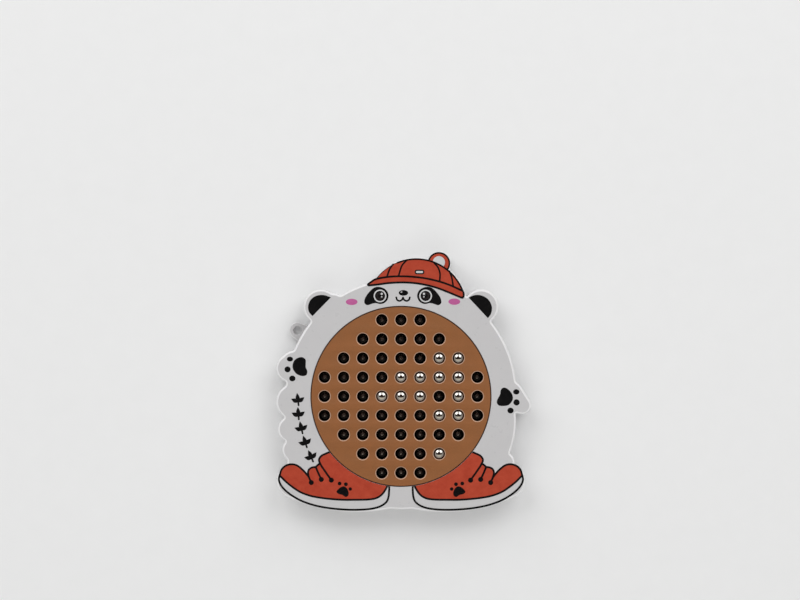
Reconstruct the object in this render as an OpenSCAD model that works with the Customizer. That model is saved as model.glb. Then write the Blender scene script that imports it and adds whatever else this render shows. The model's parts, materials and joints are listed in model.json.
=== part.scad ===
// Magnetic bead drawing board in the shape of a panda in a cap and sneakers.
// It lies face up: +Z out of the face, +Y towards the cap. The origin is on the
// back face, under the middle bead.

/* [Bead grid] */
// Distance between neighbouring beads
pitch = 8; // [7.8:0.1:8.2]
// Diameter of a steel bead
bead_d = 5; // [4.9:0.05:5.1]
// Height of a pulled-up bead above the face
bead_proud = 0.8; // [0.7:0.05:0.9]
// How far a bead travels between drawn and cleared
bead_travel = 4.6; // [4:0.1:4.6]

/* [Bead plate] */
// Radius of the plate that shows
plate_r = 37.7; // [37:0.1:38]
// Diameter of the hole that a bead shows through
mouth_d = 4.7; // [4.6:0.05:4.75]
// Width of the chamfer round each mouth
mouth_chamfer = 0.45; // [0.3:0.05:0.5]

/* [Case] */
// Radius of the round body
body_r = 48.3; // [48:0.1:49]
// Thickness of the whole board
board_t = 12; // [12:0.5:16]
// Thickness of the front face
face_t = 2; // [1.8:0.1:2.2]
// Thickness of the side wall
wall = 1.6; // [1.2:0.1:2]
// Thickness of the back cover
back_t = 2; // [1.6:0.1:2.2]

/* [Keychain lug] */
// Diameter of the lug's hole
lug_hole_d = 3.5; // [3:0.1:4]
// Width of the ring round the hole
lug_ring = 1.75; // [1.5:0.05:2]
// Thickness of the lug
lug_t = 2.6; // [2.2:0.1:3]

/* [Hidden] */
$fn = 64;
overcut = 1;            // how far a cutter runs past the face it opens
grow = body_r / 48.3;   // the outline below is drawn for a body radius of 48.3

// ---- Bead grid -------------------------------------------------------------
rows = 9;
shortest_row = 3;
middle = (rows + 1) / 2;
// Beads pulled up by the pen, as [row from the top, column from the left]
drawn = [[3, 7], [3, 8], [4, 5], [4, 6], [4, 7], [4, 8], [5, 4], [5, 5], [5, 6],
         [5, 8], [6, 7], [6, 8], [8, 7]];

function row_reach(row) =
    (min(rows, shortest_row + 2 * min(row - 1, rows - row)) - 1) / 2;
function row_cells(row) =
    [for (col = [middle - row_reach(row) : middle + row_reach(row)]) [row, col]];
function cell_xy(cell) = [cell[1] - middle, middle - cell[0]] * pitch;
function is_drawn(cell) = len([for (d = drawn) if (d == cell) 1]) > 0;
function bead_name(cell) = str("bead_r", cell[0], "_c", cell[1]);

cells = [for (row = [1 : rows]) each row_cells(row)];
// Beads that move on their own; the three of the top row, and of the bottom
// row, move together
single_cells = [for (row = [2 : rows - 1]) each row_cells(row)];

// ---- Heights ---------------------------------------------------------------
bead_r = bead_d / 2;
bead_up_z = board_t + bead_proud - bead_r;
bead_down_z = bead_up_z - bead_travel;
face_z = board_t - face_t;          // underside of the front face
sheet_t = 1.4;
sheet_z = face_z - sheet_t;
well_floor_z = bead_down_z - bead_r - 0.02;

// ---- Fits ------------------------------------------------------------------
grip_r = bead_r + 0.03;             // hole in the grip sheet
well_r = bead_r + 0.1;              // bore of a well, and relief in the plate
window_gap = 0.15;                  // between the plate and the window's edge
flange_r = plate_r + 1.8;
flange_t = 0.8;
nest_r = flange_r + 0.2;            // ring in the front cover round the inner stack
nest_wall = 1.4;
nest_bottom_z = back_t + 2;
lip_gap = 0.2;                      // between the back cover's lip and the wall
lip_t = 1.2;
lip_h = 2;

// ---- Screws ----------------------------------------------------------------
screw_ring_r = 44.4 * grow;
screw_angles = [46, 134, 226, 314];
screw_head_r = 2.1;
screw_head_h = 1.5;
screw_core_r = 1.1;
screw_length = 6.5;
recess_r = 2.5;
recess_depth = 2.4;
post_r = 2.5;
seat_r = 3.4;
seat_z = back_t + 1.6;

// ---- Outline ---------------------------------------------------------------
// Every round of the outline is [x, y, radius]
body = [0, 1, 48.3];
hip = [13.1, -10.5, 35];
ears = [[-33.5, 37.4, 7.3], [33.5, 37.4, 7.3]];
cap_dome = [6.6, 36.6, 21.4];
cap_loop = [15.8, 55.3, 5.15];
left_paw = [[-46.4, 11.7, 5.85], [-44.6, 13.2, 5.9]];
left_fur = [[-44.7, -2.3, 7.5], [-46.1, -13.8, 5.4], [-44.7, -22.4, 5]];
left_flank = [-13.8, -10.5, 35];
left_brow = [-27.8, 39.5, 3.5];
ankles = [[-43.4, -27.6, 4.2], [43.4, -27.6, 4.2]];
right_wrist = [45, 0.5, 6.3];
right_paw = [50.7, -3.8, 3.8];
shoe_gap = [0, -40, 7];
// A shoe is the arc of its sole, running tangentially into the round of its toe
sole = [18.3, 22.9, 71.3];
sole_start = -104.5;
toe_angle = -65.6;
toe_r = 7.4;
toe_end = 62;
toe = [for (i = [0, 1]) sole[i] + (sole[2] - toe_r) * [cos(toe_angle), sin(toe_angle)][i]];
shoe_top = [[30, -20], [0, -20]];
lug_at = [-43.8, 27.4] * grow;
lug_r = lug_hole_d / 2 + lug_ring;
lug_root_at = [-41.2, 25.9] * grow;
lug_root_r = lug_r + 0.4;

function arc(at, r, from, to, steps) =
    [for (i = [0 : steps]) let (a = from + (to - from) * i / steps)
        [at[0], at[1]] + r * [cos(a), sin(a)]];

module at_cells(list) for (cell = list) translate(cell_xy(cell)) children();

module at_screws()
    for (a = screw_angles) translate(screw_ring_r * [cos(a), sin(a)]) children();

module round(at, inset) translate([at[0], at[1]]) circle(r = at[2] - inset, $fn = 120);

// Two rounds joined by a taper, whose sides lie just inside their common tangents
module tapered(from, to, inset) {
    way = [to[0] - from[0], to[1] - from[1]];
    lean = acos((from[2] - to[2]) / norm(way));
    sink = 0.02;
    for (end = [from, to]) round(end, inset);
    polygon([for (corner = [[from, 1], [to, 1], [to, -1], [from, -1]])
        let (at = corner[0], a = atan2(way[1], way[0]) + corner[1] * lean)
            [at[0], at[1]] + (at[2] - inset - sink) * [cos(a), sin(a)]]);
}

module shoe(inset)
    polygon(concat(arc(sole, sole[2] - inset, sole_start, toe_angle, 24),
                   arc(toe, toe_r - inset, toe_angle, toe_end, 20), shoe_top));

// The board's outline, with every round pulled in by inset
module outline(inset = 0) scale(grow) {
    for (at = concat([body, hip, cap_dome, cap_loop, shoe_gap, left_flank, left_brow],
                     ears, ankles, left_paw, left_fur))
        round(at, inset);
    tapered(right_wrist, right_paw, inset);
    shoe(inset);
    mirror([1, 0]) shoe(inset);
}

module front_cover() color([0.93, 0.93, 0.93]) {
    difference() {
        translate([0, 0, back_t]) linear_extrude(board_t - back_t) outline();
        translate([0, 0, back_t - overcut])
            linear_extrude(face_z - back_t + overcut) outline(wall);
        translate([0, 0, face_z - overcut])
            cylinder(r = plate_r + window_gap, h = face_t + 2 * overcut, $fn = 180);
        translate([0, 0, face_z - overcut])
            cylinder(r = flange_r + window_gap, h = flange_t + overcut, $fn = 180);
    }
    translate([0, 0, nest_bottom_z]) difference() {
        cylinder(r = nest_r + nest_wall, h = face_z - nest_bottom_z, $fn = 180);
        translate([0, 0, -overcut])
            cylinder(r = nest_r, h = face_z - nest_bottom_z + 2 * overcut, $fn = 180);
    }
    at_screws() translate([0, 0, seat_z]) difference() {
        cylinder(r = post_r, h = face_z - seat_z);
        translate([0, 0, -overcut])
            cylinder(r = screw_core_r + 0.05, h = face_z - seat_z + overcut - 1);
    }
}

module bead_plate() color([0.59, 0.38, 0.24]) difference() {
    union() {
        translate([0, 0, face_z]) cylinder(r = plate_r, h = face_t, $fn = 180);
        translate([0, 0, face_z]) cylinder(r = flange_r, h = flange_t, $fn = 180);
    }
    at_cells(cells) {
        translate([0, 0, face_z - overcut])
            cylinder(d = mouth_d, h = face_t + 2 * overcut);
        translate([0, 0, face_z - overcut])
            cylinder(r = well_r, h = face_t - 0.8 + overcut);
        translate([0, 0, board_t - mouth_chamfer])
            cylinder(r1 = mouth_d / 2, r2 = mouth_d / 2 + 2 * mouth_chamfer,
                     h = 2 * mouth_chamfer);
    }
}

module grip_sheet() color([0.12, 0.12, 0.13]) difference() {
    translate([0, 0, sheet_z]) cylinder(r = flange_r, h = sheet_t, $fn = 180);
    at_cells(cells) translate([0, 0, sheet_z - overcut])
        cylinder(r = grip_r, h = sheet_t + 2 * overcut);
}

module well_tray() color([0.16, 0.16, 0.17]) {
    tube_wall = 0.8;
    rim_wall = 1.8;
    difference() {
        union() {
            translate([0, 0, back_t]) cylinder(r = flange_r, h = well_floor_z - back_t);
            translate([0, 0, back_t]) difference() {
                cylinder(r = flange_r, h = sheet_z - back_t, $fn = 180);
                cylinder(r = flange_r - rim_wall, h = sheet_z, $fn = 180);
            }
            at_cells(cells) translate([0, 0, back_t])
                cylinder(r = well_r + tube_wall, h = sheet_z - back_t);
        }
        at_cells(cells) translate([0, 0, well_floor_z]) cylinder(r = well_r, h = sheet_z);
    }
}

module back_cover() color([0.9, 0.9, 0.91]) {
    difference() {
        union() {
            linear_extrude(back_t) outline();
            translate([0, 0, back_t]) linear_extrude(lip_h) difference() {
                outline(wall + lip_gap);
                outline(wall + lip_gap + lip_t);
            }
            at_screws() cylinder(r = seat_r, h = seat_z);
            difference() {
                linear_extrude(lug_t)
                    tapered(concat(lug_at, lug_r), concat(lug_root_at, lug_root_r), 0);
                translate([0, 0, back_t]) linear_extrude(lug_t) outline(-0.1);
            }
        }
        at_screws() {
            translate([0, 0, -overcut])
                cylinder(r = recess_r, h = recess_depth + overcut);
            cylinder(r = screw_core_r + 0.3, h = seat_z + overcut);
            translate([0, 0, seat_z]) cylinder(r = post_r + lip_gap, h = lip_h);
        }
        translate([0, 0, -overcut]) translate(lug_at)
            cylinder(d = lug_hole_d, h = lug_t + 2 * overcut);
    }
}

module cover_screws() color("silver") at_screws() {
    slot = [0.7, 2.6, 0.8];
    difference() {
        translate([0, 0, recess_depth - screw_head_h])
            cylinder(r = screw_head_r, h = screw_head_h);
        for (turn = [0, 90]) rotate(turn)
            translate([0, 0, recess_depth - screw_head_h]) cube(slot, center = true);
    }
    translate([0, 0, recess_depth]) cylinder(r = screw_core_r, h = screw_length);
}

// The beads of a list of cells, each at the height where the drawing left it
module beads(list) color([0.8, 0.8, 0.82]) at_heights(list) sphere(d = bead_d);

module at_heights(list) for (cell = list) translate(cell_xy(cell))
    translate([0, 0, is_drawn(cell) ? bead_up_z : bead_down_z]) children();

front_cover();
bead_plate();
grip_sheet();
well_tray();
back_cover();
cover_screws();
beads(row_cells(1));  // beads_top_row
beads(row_cells(rows));  // beads_bottom_row
for (cell = single_cells)
    beads([cell]);
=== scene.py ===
import json
import math

import bmesh
import bpy
import numpy as np
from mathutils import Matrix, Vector
from mathutils.geometry import tessellate_polygon


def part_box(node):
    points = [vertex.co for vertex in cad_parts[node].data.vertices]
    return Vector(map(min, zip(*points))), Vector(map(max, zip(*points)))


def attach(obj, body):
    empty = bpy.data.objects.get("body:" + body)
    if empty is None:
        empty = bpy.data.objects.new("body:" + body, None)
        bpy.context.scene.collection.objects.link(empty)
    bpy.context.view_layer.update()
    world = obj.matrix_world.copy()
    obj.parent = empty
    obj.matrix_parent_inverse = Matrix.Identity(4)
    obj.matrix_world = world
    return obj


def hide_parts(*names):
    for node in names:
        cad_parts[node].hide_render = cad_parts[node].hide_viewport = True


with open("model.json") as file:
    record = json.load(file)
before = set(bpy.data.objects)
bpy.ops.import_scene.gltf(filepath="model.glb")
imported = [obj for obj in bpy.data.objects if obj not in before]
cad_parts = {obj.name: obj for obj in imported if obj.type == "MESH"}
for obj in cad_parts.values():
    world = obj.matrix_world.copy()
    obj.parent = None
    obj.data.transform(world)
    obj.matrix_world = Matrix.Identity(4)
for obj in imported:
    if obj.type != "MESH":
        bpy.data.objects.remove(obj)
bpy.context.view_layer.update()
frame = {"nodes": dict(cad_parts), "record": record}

# The looks of a panda-shaped magnetic bead drawing board, lying face up on a pale
# table. Shapes are worked out in millimetres, as (x, y) points seen from above, and
# become metres when a piece is made. The outlines of the case and the places of the
# plate, beads, screws and lug come from the CAD; the printed art is drawn here.

MM = 0.001
BOARD = "board"         # the body that everything but the beads rides on


def node_box(name):
    """The lowest and highest corner of a CAD node, in millimetres."""
    return [np.array(corner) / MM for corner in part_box(name)]


FACE_Z = node_box("front_cover")[1][2]
PARTING_Z = node_box("front_cover")[0][2]       # where the front meets the back
PLATE_BACK_Z = node_box("bead_plate")[0][2]

# ---- Outlines ----------------------------------------------------------------


def flat_loops(node, z):
    """The closed edges round a CAD node's flat faces at height z, the widest first."""
    mesh = frame["nodes"][node].data
    where = [tuple(round(c / MM, 4) for c in v.co) for v in mesh.vertices]
    edges = set()
    for face in mesh.polygons:
        corners = [where[i] for i in face.vertices]
        if all(abs(c[2] - z) < 1e-3 for c in corners):
            edges.update(zip(corners, corners[1:] + corners[:1]))
    follow = {a: b for a, b in edges if (b, a) not in edges and a != b}
    loops = []
    while follow:
        loop = [next(iter(sorted(follow)))]
        while loop[-1] in follow:
            loop.append(follow.pop(loop[-1]))
        loops.append(np.array(loop[:-1])[:, :2])
    return sorted(loops, key=lambda loop: np.ptp(loop, axis=0).max(), reverse=True)


def evened(loop, step):
    """The loop again, counter-clockwise, with its points about step apart."""
    x, y = loop.T
    if np.sum(x * np.roll(y, -1) - np.roll(x, -1) * y) < 0:
        loop = loop[::-1]
    closed = np.vstack([loop, loop[:1]])
    along = np.r_[0, np.cumsum(np.linalg.norm(np.diff(closed, axis=0), axis=1))]
    at = np.linspace(0, along[-1], int(along[-1] / step), endpoint=False)
    return np.column_stack([np.interp(at, along, closed[:, i]) for i in (0, 1)])


def softened(loop, step, reach):
    """The loop with its corners rounded, by a running average about reach wide."""
    span = int(3 * reach / step)
    weights = np.exp(-0.5 * (np.arange(-span, span + 1) * step / reach) ** 2)
    weights /= weights.sum()
    return sum(w * np.roll(loop, k - span, 0) for k, w in enumerate(weights))


def outward(loop):
    """The unit normals of a counter-clockwise loop."""
    run = np.roll(loop, -1, 0) - np.roll(loop, 1, 0)
    run /= np.linalg.norm(run, axis=1)[:, None]
    return np.column_stack([run[:, 1], -run[:, 0]])


def circle(at, r, points=48):
    turn = np.linspace(0, 2 * math.pi, points, endpoint=False)
    return np.array(at) + r * np.column_stack([np.cos(turn), np.sin(turn)])


def arc(at, r, start, end, points=24):
    turn = np.radians(np.linspace(start, end, points))
    return np.array(at) + r * np.column_stack([np.cos(turn), np.sin(turn)])


def oval(at, rx, ry, lean=0.0, points=40):
    x, y = circle((0, 0), 1, points).T * np.array([[rx], [ry]])
    c, s = math.cos(math.radians(lean)), math.sin(math.radians(lean))
    return np.array(at) + np.column_stack([x * c - y * s, x * s + y * c])


def curve(points, closed=False, steps=8):
    """A smooth line through the points."""
    p = np.array(points, float)
    last = len(p) if closed else len(p) - 1
    if closed:
        before, after = np.roll(p, 1, 0), np.roll(p, -1, 0)
    else:
        before = np.vstack([2 * p[0] - p[1], p[:-1]])
        after = np.vstack([p[1:], 2 * p[-1] - p[-2]])
    slope = (after - before) / 2
    out = []
    for i in range(last):
        j = (i + 1) % len(p)
        t = np.arange(steps)[:, None] / steps
        out.append((2 * t**3 - 3 * t**2 + 1) * p[i] + (t**3 - 2 * t**2 + t) * slope[i]
                   + (3 * t**2 - 2 * t**3) * p[j] + (t**3 - t**2) * slope[j])
    return np.vstack(out if closed else [*out, p[-1:]])


def ribbon(path, width):
    """The outline of a pen stroke along a path, with round ends."""
    run = np.gradient(path, axis=0)
    run /= np.linalg.norm(run, axis=1)[:, None]
    side = np.column_stack([-run[:, 1], run[:, 0]]) * width / 2
    cap = np.radians(np.linspace(90, -90, 9))[1:-1, None]
    ends = [path[k] + width / 2 * sign * run[k] * np.cos(cap) + sign * side[k] * np.sin(cap)
            for k, sign in ((-1, 1), (0, -1))]
    return np.vstack([path + side, ends[0], (path - side)[::-1], ends[1]])


def mirrored(points, middle=0.0):
    """The points on the other side of the line x = middle, still in their turning order."""
    return (np.array(points, float) * (-1, 1) + (2 * middle, 0))[::-1]


def smooth_edge(node, z, step=0.3, reach=0.55):
    """The outer edge of a CAD node's face at height z, with soft corners."""
    return softened(evened(flat_loops(node, z)[0], step), step, reach)


window = flat_loops("front_cover", FACE_Z)[1]
WINDOW_R = float(np.linalg.norm(window, axis=1).mean())


# ---- Meshes ------------------------------------------------------------------


class Skin:
    """Rings of points, and the faces between them, that become one closed mesh.

    A face's tint is the place of its material in the list that piece() is given.
    """

    def __init__(self):
        self.points, self.faces, self.tints = [], [], []

    def ring(self, loop, z):
        first = len(self.points)
        self.points.extend((x, y, z) for x, y in loop)
        return range(first, len(self.points))

    def strip(self, low, high, tint=0):
        for i in range(len(low)):
            j = (i + 1) % len(low)
            self.faces.append((low[i], low[j], high[j], high[i]))
            self.tints.append(tint)

    def sweep(self, rings, tints=None):
        """Strips from each ring to the next; tints gives the strips that aren't 0."""
        for k, (low, high) in enumerate(zip(rings, rings[1:])):
            self.strip(low, high, (tints or {}).get(k, 0))

    def flat(self, rings):
        """A flat face inside the first ring and outside the others."""
        order = [i for ring in rings for i in ring]
        outlines = [[self.points[i] for i in ring] for ring in rings]
        for triangle in tessellate_polygon(outlines):
            self.faces.append(tuple(order[i] for i in triangle))
            self.tints.append(0)

    def lathe(self, at, profile, points=48, tints=None):
        """Rings of the profile's (radius, height) pairs round a point."""
        rings = [self.ring(circle(at, r, points), z) for r, z in profile]
        self.sweep(rings, tints)
        return rings

    def piece(self, name, slot, materials, body=BOARD, stands_for=(), crease=35):
        mesh = bpy.data.meshes.new(name)
        mesh.from_pydata([(x * MM, y * MM, z * MM) for x, y, z in self.points], [], self.faces)
        for material in materials:
            mesh.materials.append(material)
        mesh.polygons.foreach_set("material_index", self.tints)
        shaped = bmesh.new()
        shaped.from_mesh(mesh)
        bmesh.ops.recalc_face_normals(shaped, faces=shaped.faces)
        shaped.to_mesh(mesh)
        shaped.free()
        placed(name, mesh, body, stands_for, crease)


def placed(name, mesh, body=BOARD, stands_for=(), crease=35, at=(0, 0, 0)):
    """A smooth-shaded piece, sharp where faces meet at more than crease degrees."""
    mesh.shade_smooth()
    mesh.set_sharp_from_angle(angle=math.radians(crease))
    piece = bpy.data.objects.new(name, mesh)
    piece.location = at
    bpy.context.scene.collection.objects.link(piece)
    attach(piece, body)
    if stands_for:
        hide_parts(*stands_for)


def rounded(r, steps=6, flat=0.08):
    """(inset, drop) pairs over a rounded edge from its side to its flat, and a bit on."""
    turn = np.radians(np.linspace(0, 90, steps))
    return [(r * (1 - math.cos(a)), r * (1 - math.sin(a))) for a in turn] + [(r + flat, 0)]


# ---- Materials ---------------------------------------------------------------


class Finish:
    """A Principled material whose colour, gloss and relief come from noise."""

    def __init__(self, name, **sockets):
        self.material = bpy.data.materials.new(name)
        self.material.use_nodes = True
        self.tree = self.material.node_tree
        self.shader = self.tree.nodes["Principled BSDF"]
        for socket, value in sockets.items():
            self.shader.inputs[socket.replace("_", " ")].default_value = value
        self.place = self.tree.nodes.new("ShaderNodeTexCoord").outputs["Object"]

    def node(self, kind, **inputs):
        node = self.tree.nodes.new(kind)
        for socket, value in inputs.items():
            self.put(value, node.inputs[socket.replace("_", " ")])
        return node

    def put(self, value, socket):
        if isinstance(value, bpy.types.NodeSocket):
            self.tree.links.new(value, socket)
        else:
            socket.default_value = value

    def noise(self, size_mm, detail=3.0, rough=0.55, stretch=None):
        """Noise from 0 to 1 whose patches are about size_mm across."""
        place = self.place
        if stretch:
            mapping = self.node("ShaderNodeMapping", Vector=place)
            mapping.inputs["Scale"].default_value = stretch
            place = mapping.outputs["Vector"]
        return self.node("ShaderNodeTexNoise", Vector=place, Scale=1 / (size_mm * MM),
                         Detail=detail, Roughness=rough).outputs["Fac"]

    def spread(self, value, low, high, start=0.3, end=0.7):
        """The value, with start to end stretched over low to high."""
        node = self.node("ShaderNodeMapRange", Value=value, From_Min=start, From_Max=end,
                         To_Min=low, To_Max=high)
        return node.outputs["Result"]

    def sums(self, kind, operation, *values):
        """A math node that works on the values."""
        node = self.tree.nodes.new(kind)
        node.operation = operation
        for value, socket in zip(values, node.inputs):
            self.put(value, socket)
        return node.outputs

    def mix(self, share, a, b):
        """From colour a to colour b as share goes from 0 to 1."""
        node = self.tree.nodes.new("ShaderNodeMix")
        node.data_type = "RGBA"
        self.put(share, node.inputs["Factor"])
        for value, socket in ((a, node.inputs[6]), (b, node.inputs[7])):
            self.put((*value, 1) if isinstance(value, tuple) else value, socket)
        return node.outputs[2]

    def colour(self, value):
        self.put(value, self.shader.inputs["Base Color"])

    def gloss(self, value):
        self.put(value, self.shader.inputs["Roughness"])

    def relief(self, *layers):
        """Bumps, each a (height from 0 to 1, depth in millimetres)."""
        normal = None
        for height, depth in layers:
            bump = self.node("ShaderNodeBump", Height=height, Distance=depth * MM)
            if normal:
                self.put(normal, bump.inputs["Normal"])
            normal = bump.outputs["Normal"]
        self.put(normal, self.shader.inputs["Normal"])


def white_plastic(name, dark, light):
    """Moulded white plastic: nearly even, with a faint orange peel and fine scuffs."""
    f = Finish(name, IOR=1.49, Subsurface_Weight=0.12)
    f.shader.inputs["Subsurface Radius"].default_value = (0.004, 0.004, 0.0045)
    f.shader.inputs["Subsurface Scale"].default_value = 0.3
    cloud = f.noise(11)
    speck = f.spread(f.noise(0.3, 2), 0, 1, 0.74, 0.8)
    clean = f.mix(cloud, dark, light)
    f.colour(f.mix(speck, clean, (0.52, 0.51, 0.50)))
    f.gloss(f.spread(f.noise(2.2, 4, 0.6), 0.26, 0.36))
    f.relief((f.noise(2.4, 1), 0.008), (f.noise(0.3, 2), 0.0012))
    return f.material


def tan_plate(name, dark, light):
    """Matt tan board with a fine speckled grain."""
    f = Finish(name, IOR=1.4)
    grain = f.noise(0.28, 6, 0.7)
    drift = f.noise(6, 3)
    base = f.mix(f.spread(grain, 0, 1), dark, light)
    warm = tuple(c * k for c, k in zip(light, (1.12, 0.98, 0.8)))
    f.colour(f.mix(f.spread(drift, 0, 0.3, 0.4, 0.75), base, warm))
    f.gloss(f.spread(grain, 0.55, 0.72))
    f.relief((grain, 0.02), (f.noise(0.09, 2), 0.006))
    return f.material


def ink(name, dark, light, ior=1.36, gloss=(0.4, 0.55)):
    """Printed ink: a little uneven, with the fine dots of a screen print."""
    f = Finish(name, IOR=ior)
    drift = f.noise(3.5, 4, 0.6)
    dots = f.noise(0.22, 2)
    dotted = f.sums("ShaderNodeMath", "MULTIPLY", dots, 0.3)[0]
    blend = f.sums("ShaderNodeMath", "MULTIPLY_ADD", drift, 0.7, dotted)[0]
    f.colour(f.mix(f.spread(blend, 0, 1, 0.35, 0.65), dark, light))
    f.gloss(f.spread(dots, *gloss))
    f.relief((dots, 0.004))
    return f.material


def polished_steel():
    """A steel ball: mirror bright, finely scratched, with a painted dark reflection round its
    sides.
    """
    f = Finish("polished_steel", Metallic=1.0)
    smear = f.noise(1.8, 3)
    flat = f.sums("ShaderNodeVectorMath", "MULTIPLY", f.place, (1, 1, 0))["Vector"]
    from_axis = f.sums("ShaderNodeVectorMath", "LENGTH", flat)["Value"]
    # Painted reflection: from 1.66 to 1.92 mm off its vertical axis the ball turns dark brown,
    # standing for the dark mouth it mirrors; it moves with the ball.
    painted_dark_ring = f.spread(from_axis, 0, 1, 1.66 * MM, 1.92 * MM)
    scratch = f.noise(0.12, 3, 0.6, stretch=(1, 0.06, 0.4))
    clean = f.mix(smear, (0.68, 0.655, 0.61), (0.78, 0.755, 0.71))
    f.colour(f.mix(painted_dark_ring, clean, (0.055, 0.024, 0.013)))
    f.gloss(f.spread(smear, 0.02, 0.06))
    f.relief((scratch, 0.0012), (f.noise(0.5, 2), 0.0015))
    return f.material


def screw_steel():
    """Zinc-plated screw steel, dulled in patches."""
    f = Finish("screw_steel", Metallic=1.0)
    patch = f.noise(0.7, 4, 0.6)
    f.colour(f.mix(patch, (0.42, 0.42, 0.43), (0.64, 0.64, 0.66)))
    f.gloss(f.spread(patch, 0.22, 0.42))
    f.relief((f.noise(0.12, 2), 0.004))
    return f.material


def foam():
    """Black closed-cell foam sheet."""
    f = Finish("black_foam", Roughness=0.9)
    voronoi = f.node("ShaderNodeTexVoronoi", Vector=f.place, Scale=1 / (0.25 * MM))
    cells = voronoi.outputs["Distance"]
    f.colour(f.mix(cells, (0.010, 0.005, 0.004), (0.030, 0.016, 0.013)))
    f.gloss(f.spread(cells, 0.8, 0.95))
    f.relief((cells, 0.03))
    return f.material


def black_plastic():
    """Black moulded plastic with a fine spark-eroded texture."""
    f = Finish("black_plastic", IOR=1.5)
    grit = f.noise(0.18, 3)
    f.colour(f.mix(grit, (0.010, 0.008, 0.007), (0.022, 0.017, 0.015)))
    f.gloss(f.spread(grit, 0.38, 0.55))
    f.relief((grit, 0.008))
    return f.material


WHITE = white_plastic("white_plastic", (0.60, 0.595, 0.605), (0.645, 0.635, 0.64))
# A brighter copy of the white for the rounded edges of the shells and the lug: a painted
# highlight.
WHITE_EDGE_HIGHLIGHT = white_plastic("white_edge_highlight", (0.82, 0.82, 0.83), (0.88, 0.875, 0.88))
TAN = tan_plate("tan_plate", (0.235, 0.088, 0.027), (0.335, 0.132, 0.045))
# Lit and shaded copies of the tan: a painted highlight for the chamfers, painted shade for the
# mouths' walls and the plate's edge.
LIT_RIM = tan_plate("tan_rim_highlight", (0.58, 0.36, 0.25), (0.74, 0.50, 0.37))
SHADE = tan_plate("tan_in_shade", (0.030, 0.010, 0.005), (0.060, 0.020, 0.010))
RED = ink("red_print", (0.415, 0.045, 0.019), (0.500, 0.066, 0.030))
BLACK = ink("black_print", (0.002, 0.002, 0.0024), (0.006, 0.0055, 0.006), 1.24)
PINK = ink("pink_print", (0.47, 0.095, 0.28), (0.57, 0.140, 0.36))
IRIS = ink("iris_print", (0.009, 0.007, 0.007), (0.026, 0.019, 0.019), 1.3)
WHITE_INK = ink("white_print", (0.60, 0.60, 0.61), (0.66, 0.655, 0.66))
STEEL = polished_steel()
ZINC = screw_steel()

# ---- Case --------------------------------------------------------------------

LIT_EDGE = 1                # the tint of a shell's rounded edges: a brighter white there, a painted highlight
SEAM = 0.12             # the small chamfer on each side of the parting line


def inset(loop, depth):
    return loop - depth * outward(loop)


def front_shell():
    """The white front: a flat face with a rounded edge, a side wall and a window."""
    edge_r, sill_r, wall = 0.75, 0.1, 1.6
    skin, outline = Skin(), smooth_edge("front_cover", PARTING_Z)
    inner = skin.ring(inset(outline, wall), PARTING_Z)
    rings = [inner, skin.ring(inset(outline, SEAM), PARTING_Z),
             skin.ring(outline, PARTING_Z + SEAM)]
    rings += [skin.ring(inset(outline, i), FACE_Z - drop) for i, drop in rounded(edge_r)]
    skin.sweep(rings, {k: LIT_EDGE for k in range(4, len(rings) - 1)})
    sill = [(WINDOW_R + i, FACE_Z - drop) for i, drop in reversed(rounded(sill_r, 4))]
    mouth = skin.lathe((0, 0), [*sill, (WINDOW_R, PLATE_BACK_Z)], 256)
    skin.flat([rings[-1], mouth[0]])
    ceiling = skin.ring(inset(outline, wall), PLATE_BACK_Z)
    skin.flat([ceiling, mouth[-1]])
    skin.strip(ceiling, inner)
    skin.piece("front_shell", "white_plastic", [WHITE, WHITE_EDGE_HIGHLIGHT], stands_for=["front_cover"])


SCREW_HEAD_R, SCREW_HEAD_H, SCREW_CORE_R = 2.1, 1.5, 1.1
screw_low, screw_high = node_box("cover_screws")
SCREWS = [(sx * (screw_high[0] - SCREW_HEAD_R), sy * (screw_high[1] - SCREW_HEAD_R))
          for sx in (-1, 1) for sy in (-1, 1)]
HEAD_Z = screw_low[2]
SHOULDER_Z = HEAD_Z + SCREW_HEAD_H
lug = next(m for m in frame["record"]["mounts"] if m["name"] == "keychain_hole")
LUG_AT = np.array(lug["pos_m"][:2]) / MM
LUG_HOLE_R = lug["dims"]["r_mm"]
LUG_T = lug["dims"]["length_mm"]


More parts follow.
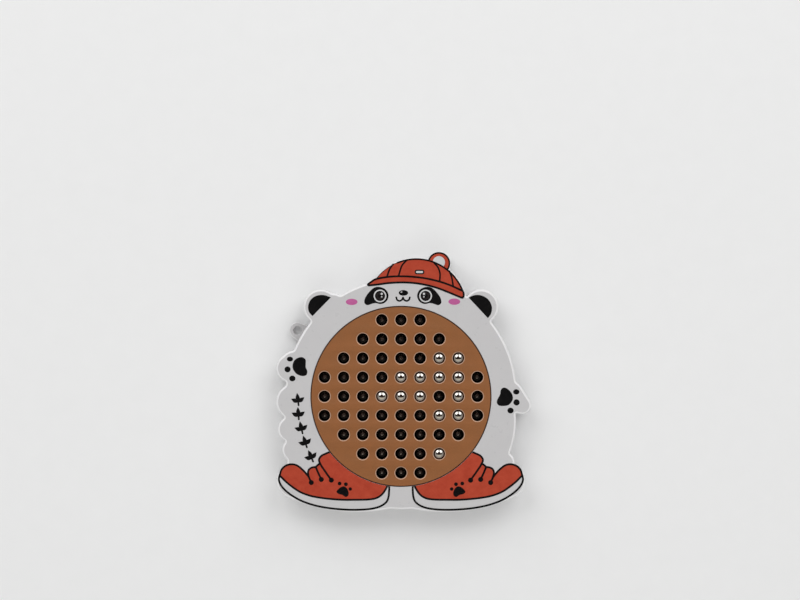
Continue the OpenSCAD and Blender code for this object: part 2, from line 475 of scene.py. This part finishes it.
def back_shell():
    """The white back: a plate with a rounded edge, screw recesses and the lug."""
    edge_r, seat_r, seat_z, hole_r, recess_r, lead_in = 0.6, 3.4, 3.6, 1.4, 2.5, 0.2
    lug_edge_r, lug_step, lug_reach = 0.3, 0.2, 0.25
    skin, outline = Skin(), smooth_edge("back_cover", 0.0)
    rings = [skin.ring(inset(outline, i), drop) for i, drop in reversed(rounded(edge_r))]
    rings += [skin.ring(outline, PARTING_Z - SEAM), skin.ring(inset(outline, SEAM), PARTING_Z)]
    skin.sweep(rings)
    profile = [(seat_r, PARTING_Z), (seat_r, seat_z), (hole_r, seat_z), (hole_r, SHOULDER_Z),
               (recess_r, SHOULDER_Z), (recess_r, lead_in), (recess_r + lead_in, 0)]
    holes = [skin.lathe(at, profile) for at in SCREWS]
    holes.append(skin.lathe(LUG_AT, [(LUG_HOLE_R, PARTING_Z)] + [
        (LUG_HOLE_R + i, drop) for i, drop in rounded(lug_edge_r)]))
    skin.flat([rings[0]] + [hole[-1] for hole in holes])
    skin.flat([rings[-1]] + [hole[0] for hole in holes])
    lug_edge = smooth_edge("back_cover", LUG_T, lug_step, lug_reach)
    rings = [skin.ring(lug_edge, PARTING_Z)]
    rings += [skin.ring(inset(lug_edge, i), LUG_T - drop) for i, drop in rounded(lug_edge_r)]
    skin.sweep(rings, {k: LIT_EDGE for k in range(1, len(rings) - 1)})
    hole = skin.lathe(LUG_AT, [(LUG_HOLE_R, PARTING_Z)] + [
        (LUG_HOLE_R + i, LUG_T - drop) for i, drop in rounded(lug_edge_r)])
    skin.flat([rings[0], hole[0]])
    skin.flat([rings[-1], hole[-1]])
    skin.piece("back_shell", "white_plastic", [WHITE, WHITE_EDGE_HIGHLIGHT], stands_for=["back_cover"])


def screws():
    """Pan-head screws with a cross recess, seen in the recesses of the back."""
    skin = Skin()
    arm, half, pit, taper, dome, point_r, point_h = 1.25, 0.3, 0.85, 0.7, 0.5, 0.35, 0.8
    cross = [(half, -arm), (half, -half), (arm, -half), (arm, half), (half, half), (half, arm)]
    cross += [(-x, -y) for x, y in cross]
    for at in SCREWS:
        head = [(SCREW_HEAD_R - i - dome * 0.4 * (d == 0), HEAD_Z + d) for i, d in
                reversed(rounded(dome, 5, 0.05))]
        shank = [(SCREW_HEAD_R, SHOULDER_Z), (SCREW_CORE_R, SHOULDER_Z),
                 (SCREW_CORE_R, screw_high[2] - point_h), (point_r, screw_high[2])]
        rings = skin.lathe(at, head + shank, 40)
        top = skin.ring(np.array(cross) + at, HEAD_Z)
        floor = skin.ring(np.array(cross) * taper + at, HEAD_Z + pit)
        skin.flat([rings[0], top])
        skin.strip(top, floor)
        skin.flat([floor])
        skin.flat([rings[-1]])
    skin.piece("back_screws", "screw_steel", [ZINC], stands_for=["cover_screws"])


# ---- Beads and their plate ---------------------------------------------------

BALL_R = 2.5
bead_nodes = sorted(n for n in frame["nodes"] if n.startswith("bead_r") or n.startswith("beads_"))


def ball_places(node):
    """The middle of each ball of a node, in millimetres: one, or three in a row."""
    low, high = node_box(node)
    middle = (low + high) / 2
    reach = (high[0] - low[0]) / 2 - BALL_R
    shifts = [0] if reach < BALL_R else [-reach, 0, reach]
    return [middle + (shift, 0, 0) for shift in shifts]


CELLS = [place[:2] for node in bead_nodes for place in ball_places(node)]


def plate():
    """The tan plate: a flanged disc with a chamfered mouth over every bead."""
    mouth_r, chamfer, lip_z, relief_r, soft = 2.35, 0.45, FACE_Z - 0.8, 2.6, 0.06
    flange_r = node_box("bead_plate")[1][0]
    plate_r, flange_z, edge = WINDOW_R - 0.15, PLATE_BACK_Z + 0.8, 0.2
    skin = Skin()
    outer = [(flange_r, PLATE_BACK_Z), (flange_r, flange_z), (plate_r, flange_z)]
    outer += [(plate_r - i, FACE_Z - drop) for i, drop in rounded(edge, 4, 0.14)]
    # The chamfers get the painted highlight; the mouths' walls and the plate's rounded edge get
    # the painted shade.
    light, shade = 1, 2
    rim = skin.lathe((0, 0), outer, 256, {k: shade for k in range(2, 7)})
    outside, inside = chamfer * 0.8, chamfer * 0.16
    profile = [(mouth_r + chamfer + soft, FACE_Z), (mouth_r + chamfer, FACE_Z - soft / 3),
               (mouth_r + outside, FACE_Z - chamfer + outside),
               (mouth_r + inside, FACE_Z - chamfer + inside),
               (mouth_r + soft, FACE_Z - chamfer), (mouth_r, FACE_Z - chamfer - soft),
               (mouth_r, lip_z), (relief_r, lip_z), (relief_r, PLATE_BACK_Z)]
    bands = {2: light, **{k: shade for k in range(3, 8)}}
    mouths = [skin.lathe(at, profile, 48, bands) for at in CELLS]
    skin.flat([rim[-1]] + [rings[0] for rings in mouths])
    skin.flat([rim[0]] + [rings[-1] for rings in mouths])
    skin.piece("tan_disc", "tan_plate", [TAN, LIT_RIM, SHADE], stands_for=["bead_plate"], crease=30)


def balls():
    """A polished ball in every place. All of them share one mesh."""
    mesh = bpy.data.meshes.new("ball")
    shaped = bmesh.new()
    bmesh.ops.create_icosphere(shaped, subdivisions=4, radius=BALL_R * MM)
    shaped.to_mesh(mesh)
    shaped.free()
    mesh.materials.append(STEEL)
    for node in bead_nodes:
        for k, at in enumerate(ball_places(node)):
            name = node.replace("bead", "ball") + ("_" + "abc"[k]) * node.startswith("beads")
            placed(name, mesh, node, [node], crease=180, at=at * MM)


# ---- Printed art -------------------------------------------------------------

LINE = 0.82             # the usual width of a drawn line
INK_SINK = 0.04         # how far a print's edge reaches into the face
LAYER = 0.014           # each layer of ink stands this much higher
HAIR = 0.0006           # and each shape of one layer this much


def outside_window(loop):
    """The loop without what lies inside the window, where it follows the window's edge."""
    reach = WINDOW_R + 0.03
    far = np.linalg.norm(loop, axis=1) > reach
    if far.all():
        return loop
    first = next(i for i in range(len(loop)) if far[i] and not far[(i + 1) % len(loop)])
    loop, far = np.roll(loop, -first, 0), np.roll(far, -first)
    kept = loop[far]
    back = len(loop) - np.argmax(~far[::-1]) - 1

    def crossing(a, b):
        share = np.linspace(0, 1, 60)[:, None]
        line = a + share * (b - a)
        return line[np.argmin(abs(np.linalg.norm(line, axis=1) - reach))]

    ends = [crossing(loop[0], loop[1]), crossing(loop[back], loop[(back + 1) % len(loop)])]
    start, end = (math.atan2(p[1], p[0]) for p in ends)
    end += 2 * math.pi * round((start - end) / (2 * math.pi))
    steps = max(2, int(abs(end - start) * reach / 0.8))
    along = arc((0, 0), reach, math.degrees(start), math.degrees(end), steps)
    return np.vstack([kept[:1], along, kept[1:]])


class Print(Skin):
    """Flat patches of ink that stand a hair above the white face."""

    def __init__(self, layer):
        super().__init__()
        self.top = FACE_Z + layer * LAYER

    def patch(self, loop, holes=()):
        self.top += HAIR
        rings = [(self.ring(l, FACE_Z - INK_SINK), self.ring(l, self.top))
                 for l in [outside_window(np.array(loop, float)), *holes]]
        for low, high in rings:
            self.strip(low, high)
        self.flat([low for low, high in rings])
        self.flat([high for low, high in rings])

    def line(self, path, width=LINE):
        """A pen stroke, as a strip with round ends that may bend tightly."""
        path = np.array(path, float)
        loop = ribbon(path, width)
        if len(outside_window(loop)) != len(loop):
            self.patch(loop)
            return
        self.top += HAIR
        rings = [self.ring(loop, FACE_Z - INK_SINK), self.ring(loop, self.top)]
        self.strip(*rings)
        last = len(path) - 1
        for ring in rings:
            left, right = ring[:last + 1], ring[last + 8:2 * last + 9][::-1]
            faces = list(zip(left, left[1:], right[1:], right))
            faces += [tuple(ring[last:last + 9]), (*ring[2 * last + 8:], left[0])]
            self.faces.extend(faces)
            self.tints.extend([0] * len(faces))

    def lines(self, paths, width=LINE):
        for path in paths:
            self.line(curve(path), width)


def joined(*runs):
    return np.vstack([np.array(run, float) for run in runs])


FACE_MIDDLE = 0.78      # the face looks a little to the right of the body's middle line


def cap():
    """Red baseball cap: brim, domed crown with seams, badge and hanging loop."""
    crown_at, crown_r = (6.4, 36.6), 20.85
    loop_at, loop_r, eye_at, eye_r = (15.85, 55.6), 4.4, (15.85, 56.1), 2.55
    brim_low = [(-13.5, 46.4), (-10, 46.75), (-5, 47.4), (0, 47.65), (5, 47.45), (10, 46.7),
                (15, 45.4), (20, 43.5), (25.1, 41.4)]
    brim_tip = [(25.9, 41.5), (26.25, 42.3), (26.1, 43.6)]
    brim_top = [(-13.75, 46.9), (-12.4, 47.9), (-10.2, 49.1), (-5, 50), (0, 50.2), (5, 50),
                (10, 49.4), (15, 48.3), (20, 46.7), (25.8, 44.1)]
    crown = arc(crown_at, crown_r, 23, 144, 60)
    left_of_crown = curve(brim_top)[:12][::-1]
    red = Print(1)
    red.patch(circle(loop_at, loop_r + 0.2))
    red.piece("cap_loop_red", "red_print", [RED])
    white = Print(2)
    white.patch(circle(eye_at, eye_r))
    white.piece("cap_loop_eye", "white_print", [WHITE_INK])
    black = Print(3)
    black.line(arc(loop_at, loop_r, -48, 168, 48), 0.68)
    black.piece("cap_loop_line", "black_print", [BLACK])
    red = Print(4)
    red.patch(joined(curve(brim_low), curve(brim_tip), crown, left_of_crown))
    red.piece("cap_red", "red_print", [RED])
    black = Print(5)
    black.lines([brim_top, [*brim_low, *brim_tip]])
    black.line(curve([(-13.2, 46.45), (-13.85, 46.6), (-13.6, 47.1)]), 0.7)
    black.line(arc(crown_at, crown_r - 0.05, 21, 112, 60), 0.7)
    black.line(arc(crown_at, crown_r + 0.05, 112, 143, 20), 0.28)
    black.lines([[(-3.3, 55.2), (-4.7, 53.2), (-5.8, 50.2)],
                 [(2.6, 57.1), (0.4, 54.6), (-1.0, 50.4)],
                 [(13.7, 56.0), (15.4, 54.0), (16.3, 51.5), (16.2, 48.4)],
                 [(20.2, 52.4), (21.2, 49.8), (21.8, 46.4)]], 0.7)
    black.patch(slab((7.75, 52.0), 4.0, 1.9))
    black.piece("cap_lines", "black_print", [BLACK])
    white = Print(6)
    white.patch(slab((7.75, 52.0), 2.9, 0.85))
    white.piece("cap_badge", "white_print", [WHITE_INK])


def slab(at, width, height):
    """A bar with rounded ends."""
    r, x = height * 0.42, width / 2
    corners = [(x - r, height / 2 - r, 0), (r - x, height / 2 - r, 90),
               (r - x, r - height / 2, 180), (x - r, r - height / 2, 270)]
    return joined(*[arc(np.array(at) + (cx, cy), r, turn, turn + 90, 8)
                    for cx, cy, turn in corners])


def face():
    """Panda face: black patches round ringed eyes, nose, mouth, cheeks and ears."""
    patch = curve([(-9.7, 45.8), (-7.4, 45.3), (-5.75, 43.9), (-5.2, 41.9), (-5.9, 40.0),
                   (-7.2, 38.95), (-8.8, 38.65), (-10.4, 39.0), (-12.0, 38.75), (-14.0, 38.15),
                   (-15.15, 38.85), (-15.3, 40.0), (-14.8, 41.5), (-13.4, 43.5), (-11.6, 45.2)],
                  closed=True)
    eye = (-8.75, 42.0)
    mouth = [(-1.98, 41.4), (-1.6, 40.4), (-0.65, 39.92), (0.4, 40.4), (0.86, 41.35)]
    black = Print(1)
    for side in (patch, mirrored(patch, FACE_MIDDLE)):
        black.patch(side)
    black.patch(oval((1.03, 43.28), 1.97, 1.17))
    for path in (curve(mouth), mirrored(curve(mouth), mouth[-1][0])):
        black.line(path, 0.72)
    left_ear = [(-29.3, 41.4), (-31.5, 42.2), (-33.6, 42.4), (-36.0, 41.8), (-37.8, 40.3),
                (-38.7, 38.3), (-38.75, 36.4), (-38.2, 34.9), (-36.95, 33.6)]
    right_ear = [(28.3, 41.3), (30.3, 42.2), (32.6, 42.4), (34.9, 41.7), (36.7, 40.3),
                 (37.8, 38.3), (38.05, 36.4), (37.6, 34.5), (36.35, 32.7)]
    for ear in (left_ear, right_ear):
        black.patch(curve(ear))
    black.piece("face_black", "black_print", [BLACK])
    white = Print(2)
    iris = Print(3)
    iris_ring = Print(4)
    glint = Print(5)
    eyes = (np.array(eye), np.array((2 * FACE_MIDDLE - eye[0], eye[1])))
    for at, lean in zip(eyes, (1, -1)):
        white.patch(circle(at, 2.66))
        iris.patch(circle(at, 2.12))
        iris_ring.patch(circle(at, 1.62), [circle(at, 0.85)])
        glint.patch(circle(at + (0.7 * lean, 0.88), 0.48, 24))
        glint.patch(circle(at + (0.72 * lean, -0.36), 0.3, 20))
    glint.patch(oval((0.2, 43.62), 0.4, 0.22, 20, 20))
    white.piece("eye_rings", "white_print", [WHITE_INK])
    iris.piece("irises", "black_print", [BLACK])
    iris_ring.piece("iris_rings", "iris_print", [IRIS])
    glint.piece("eye_glints", "white_print", [WHITE_INK])
    pink = Print(1)
    for at in ((-20.6, 39.5), (22.3, 39.6)):
        pink.patch(oval(at, 2.45, 1.32))
    pink.piece("cheeks", "pink_print", [PINK])


def paws():
    """A paw print on each arm: a pad and three toes."""
    left = [(-41.4, 16.4), (-39.9, 15.4), (-39.8, 13.6), (-39.8, 12.2), (-39.15, 10.5),
            (-39.6, 8.9), (-41.4, 8.55), (-43.6, 9.4), (-45.0, 11.2), (-45.3, 13.0),
            (-44.7, 14.8), (-43.3, 16.0)]
    right = [(43.1, 3.7), (44.9, 2.9), (46.3, 1.2), (46.8, -0.6), (46.3, -2.2), (44.9, -3.6),
             (42.9, -4.0), (41.0, -3.8), (40.1, -2.7), (40.3, -1.3), (41.4, 0.8), (41.8, 2.8)]
    toes = [(-46.4, 15.6, 1.3, 1.0), (-47.4, 11.3, 1.25, 1.25), (-45.4, 7.5, 1.3, 1.2),
            (48.2, 1.9, 1.3, 1.1), (48.3, -2.5, 1.3, 1.3), (45.8, -5.9, 1.3, 1.2)]
    black = Print(1)
    for pad in (left, right):
        black.patch(curve(pad, closed=True))
    for x, y, rx, ry in toes:
        black.patch(oval((x, y), rx, ry))
    black.piece("arm_paws", "black_print", [BLACK])


def leaf(at, heading, long, wide):
    """A pointed leaf that starts at a point."""
    t = np.linspace(0, 1, 14)
    half = wide / 2 * np.sin(math.pi * t**0.8) ** 1.1
    x = np.r_[t, t[-2:0:-1]] * long
    y = np.r_[half, -half[-2:0:-1]]
    c, s = math.cos(math.radians(heading)), math.sin(math.radians(heading))
    return np.array(at) + np.column_stack([x * c - y * s, x * s + y * c])


def bamboo():
    """Five sprigs of bamboo down the left flank."""
    black = Print(1)
    sprigs = [(-43.1, -1.2, 97), (-42.9, -7.1, 95), (-41.7, -13.0, 103), (-40.1, -18.9, 108),
              (-37.7, -24.9, 113)]
    for x, y, heading in sprigs:
        way = np.array((math.cos(math.radians(heading)), math.sin(math.radians(heading))))
        foot, knot = np.array((x, y)) - 2.5 * way, np.array((x, y)) - 1.2 * way
        black.line(np.linspace(foot, knot + 0.3 * way, 4), 0.75)
        for turn, long in ((0, 3.9), (58, 3.3), (-58, 3.3)):
            black.patch(leaf(knot, heading + turn, long, 1.75))
    black.piece("bamboo_sprigs", "black_print", [BLACK])


def shoes():
    """Red sneakers with laces, white soles and a paw print on each."""
    toe = [(-50.7, -33.0), (-49.9, -30.6), (-48.2, -29.0), (-45.8, -28.35), (-43.4, -28.9),
           (-41.0, -30.8), (-38.9, -33.2)]
    toe_end = [(-38.2, -34.4), (-37.5, -36.0)]
    tongue = [(-38.6, -33.3), (-38.8, -31.4), (-38.1, -30.2), (-36.9, -29.65), (-35.6, -29.5)]
    rise = [(-34.9, -28.8), (-34.1, -28.2)]
    collar = [(-34.25, -26.5), (-33.3, -24.9), (-31.6, -24.0), (-29.2, -23.0)]
    sole_top = [(-50.7, -33.0), (-48, -35.7), (-45, -38.1), (-42, -40.0), (-38, -41.5),
                (-34, -42.3), (-29, -42.9), (-24, -43.2), (-19, -43.2), (-14, -43.1),
                (-10.6, -42.6), (-8.2, -41.2), (-6.5, -39.0), (-5.5, -37.0)]
    sole_low = [(-50.7, -32.8), (-51.0, -35.0), (-49.9, -37.5), (-47.5, -40.0), (-44, -42.4),
                (-40, -44.3), (-35, -45.8), (-30, -46.7), (-25, -47.2), (-20, -47.4),
                (-15, -47.25), (-11, -46.7), (-8, -45.6), (-6, -44.0), (-5.2, -42.0),
                (-4.95, -39.5), (-4.9, -37.0)]
    eyelets = [(-37.5, -36.0), (-33.3, -34.7), (-29.1, -35.0)]
    pad = [(-26.9, -39.7), (-25.4, -38.1), (-23.9, -37.6), (-22.7, -38.3), (-21.9, -40.0),
           (-22.1, -41.5), (-23.2, -42.0), (-24.5, -41.2), (-26.2, -40.7)]
    toes = [(-25.65, -36.4, 0.78), (-23.0, -36.7, 0.8), (-21.2, -38.7, 0.72)]
    fill = joined(curve(toe), curve(tongue), rise, curve(collar), [(-20, -20), (-4, -30)],
                  curve(sole_top)[:0:-1])
    paths = [curve(toe + toe_end), curve([eyelets[0], *tongue]), curve([tongue[-1], *rise]),
             curve([tongue[-1], (-34.7, -31.7), eyelets[1]]),
             curve([eyelets[2], (-32.0, -30.9), (-33.6, -28.4), *collar]),
             curve(sole_top), curve(sole_low)]
    red, black = Print(1), Print(2)
    for turned in (False, True):
        over = mirrored if turned else np.array
        red.patch(over(fill))
        for path in paths:
            black.line(over(path), LINE)
        for at in eyelets:
            black.patch(over(circle(at, 1.05, 28)))
        black.patch(over(curve(pad, closed=True)))
        for x, y, r in toes:
            black.patch(over(circle((x, y), r, 24)))
    red.piece("shoes_red", "red_print", [RED])
    black.piece("shoe_lines", "black_print", [BLACK])


def dress_inside():
    """The parts that show only down the holes keep their CAD shape."""
    for node, material in (("grip_sheet", foam()), ("well_tray", black_plastic())):
        for slot in frame["nodes"][node].material_slots:
            slot.material = material


# ---- Table, light and camera -------------------------------------------------


def backdrop(name, size, at, colour, glossy_only=False):
    """A flat rectangle of the studio, which only reflections see if it is glossy_only."""
    bpy.ops.mesh.primitive_plane_add(size=1, location=at)
    board = bpy.context.object
    board.name = name
    board.scale = (*size, 1)
    finish = Finish(name, Roughness=0.8)
    grain = finish.noise(1.5, 4)
    finish.colour(finish.mix(grain, tuple(c * 0.97 for c in colour), colour))
    board.data.materials.append(finish.material)
    if glossy_only:
        board.visible_camera = board.visible_diffuse = board.visible_shadow = False


def lamp(name, at, size, power):
    """A soft rectangular light that faces the board and doesn't show itself."""
    data = bpy.data.lights.new(name, "AREA")
    data.shape, data.size, data.size_y = "RECTANGLE", *size
    data.energy = power
    light = bpy.data.objects.new(name, data)
    bpy.context.scene.collection.objects.link(light)
    light.location = at
    light.rotation_euler = (-Vector(at)).to_track_quat("-Z", "Y").to_euler()
    light.visible_camera = False
    return light


def studio():
    """Pale table, two tall windows beyond the cap, and what the balls mirror above them."""
    backdrop("table", (6, 6), (0, 0, 0), (0.92, 0.925, 0.93))
    for side, name in ((-1, "window_left"), (1, "window_right")):
        lamp(name, (0.78 * side, 1.05, 0.95), (1.2, 1.4), 10)
    lamp("fill", (0, -0.95, 1.05), (2.2, 1.4), 7.2).visible_glossy = False
    dark, beige = (0.032, 0.016, 0.012), (0.95, 0.88, 0.76)
    backdrop("camera_body", (0.95, 0.80), (0, 0.07, 0.80), dark, glossy_only=True)
    backdrop("camera_strap", (3.2, 0.54), (0, -0.08, 0.801), dark, glossy_only=True)
    backdrop("camera_stand", (0.44, 0.6), (0, 0.45, 0.802), dark, glossy_only=True)
    backdrop("beige_ceiling", (2.2, 1.5), (0, -0.98, 0.803), beige, glossy_only=True)
    world = bpy.data.worlds.new("room")
    bpy.context.scene.world = world
    world.use_nodes = True
    nodes, links = world.node_tree.nodes, world.node_tree.links
    nodes["Background"].inputs["Color"].default_value = (0.93, 0.92, 0.90, 1)
    nodes["Background"].inputs["Strength"].default_value = 0.36
    haze = nodes.new("ShaderNodeBackground")
    haze.inputs["Color"].default_value = (0.80, 0.80, 0.80, 1)
    seen, mix = nodes.new("ShaderNodeLightPath"), nodes.new("ShaderNodeMixShader")
    links.new(seen.outputs["Is Camera Ray"], mix.inputs[0])
    links.new(nodes["Background"].outputs[0], mix.inputs[1])
    links.new(haze.outputs[0], mix.inputs[2])
    links.new(mix.outputs[0], nodes["World Output"].inputs["Surface"])


def camera():
    """Looks straight down, with the cap up, and frames 334 mm across."""
    across, height, aim = 0.3344, 0.75, (-0.0004, 0.0403)
    data = bpy.data.cameras.new("camera")
    data.sensor_width = 36
    data.lens = data.sensor_width * (height - FACE_Z * MM) / across
    data.clip_start, data.clip_end = 0.01, 20
    eye = bpy.data.objects.new("camera", data)
    bpy.context.scene.collection.objects.link(eye)
    eye.location = (*aim, height)
    bpy.context.scene.camera = eye


for make in (front_shell, back_shell, screws, plate, balls, cap, face, paws, bamboo, shoes,
             dress_inside, studio, camera):
    make()
bpy.context.scene.view_settings.view_transform = "Standard"
